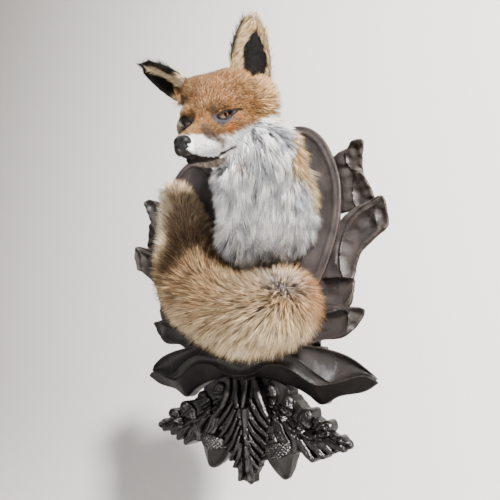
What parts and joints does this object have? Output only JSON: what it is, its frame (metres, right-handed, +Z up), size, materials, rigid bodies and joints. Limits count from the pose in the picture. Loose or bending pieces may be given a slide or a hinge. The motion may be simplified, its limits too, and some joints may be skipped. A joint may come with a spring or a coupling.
{
  "type": "taxidermy red fox half mount on wall plaque",
  "caption": "Taxidermy red fox head and neck turned to one side above its curled tail, mounted on a dark carved leaf-work wall plaque.",
  "frame": {"origin": "On the plaque's flat back, on its left-right middle line, a little above the middle of the raised panel.", "axes": "+Z up the plaque, +Y into the wall out of the plaque's back, -Y into the room, +X to the right of someone facing the plaque."},
  "size_m": [0.45, 0.273, 0.5675],
  "materials": {
    "carved_wood": "dark stained hardwood, satin wax",
    "face_coat": "short tan and white fur",
    "nose_skin": "dark pebbled nose leather, slight sheen",
    "eye_glass": "dark brown glass eye with a slit pupil",
    "ear_coat": "short black fur behind, cream fur inside",
    "neck_coat": "long white and grey fur, cream at the nape",
    "tail_coat": "long dense tan and cream fur with dark tips"
  },
  "bodies": {
    "root": {"panel": "carved_wood", "upper_leaf_right": "carved_wood", "middle_leaf_right": "carved_wood", "lower_leaf_right": "carved_wood", "bow_right": "carved_wood", "spray_leaf_right": "carved_wood", "acorn_right": "carved_wood", "upper_leaf_left": "carved_wood", "middle_leaf_left": "carved_wood", "lower_leaf_left": "carved_wood", "bow_left": "carved_wood", "spray_leaf_left": "carved_wood", "acorn_left": "carved_wood", "spray_leaf_centre": "carved_wood", "head": "face_coat", "lower_jaw": "face_coat", "nose": "nose_skin", "eye_left": "eye_glass", "eye_right": "eye_glass", "ear_left": "ear_coat", "ear_right": "ear_coat", "neck": "neck_coat", "chest": "neck_coat", "tail_root": "tail_coat", "tail_foot": "tail_coat", "tail_side": "tail_coat", "tail_tip": "tail_coat"}
  },
  "joints": []
}
